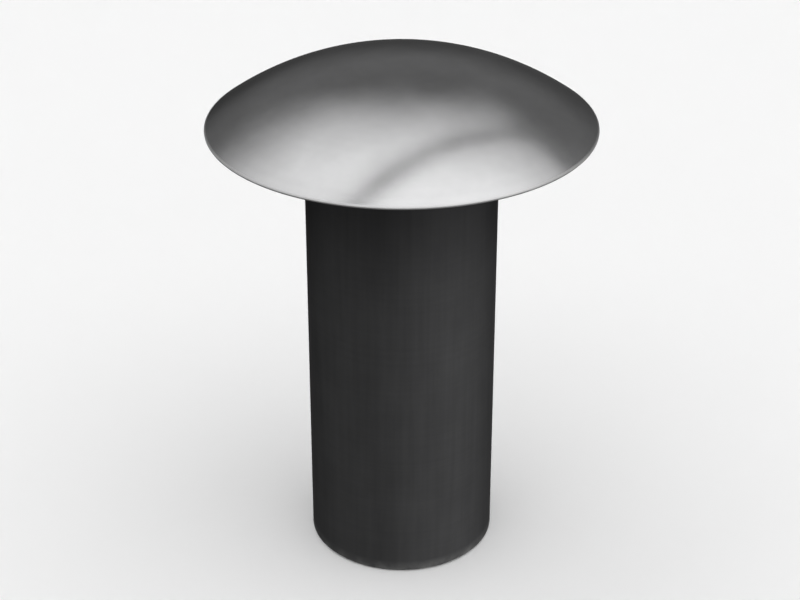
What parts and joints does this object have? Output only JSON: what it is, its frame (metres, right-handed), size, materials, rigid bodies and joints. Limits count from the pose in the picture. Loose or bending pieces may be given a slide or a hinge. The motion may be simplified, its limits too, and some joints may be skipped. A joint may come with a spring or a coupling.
{
  "type": "hollow rivet",
  "caption": "Hollow rivet with a shallow domed head, a flat underside and a plain cylindrical shank that is bored blind from the tail.",
  "frame": {"origin": "centre of the open end face of the tail, on the axis", "axes": "+Z along the axis, from the tail to the head; X and Y across it, and the part looks the same all round"},
  "size_m": [0.007, 0.007, 0.0097],
  "materials": {
    "steel": "satin: a smooth burnished dome; underside and shank darker, drawn and oiled, with faint lines along the shank"
  },
  "bodies": {
    "root": {"rivet": "steel"}
  },
  "joints": []
}
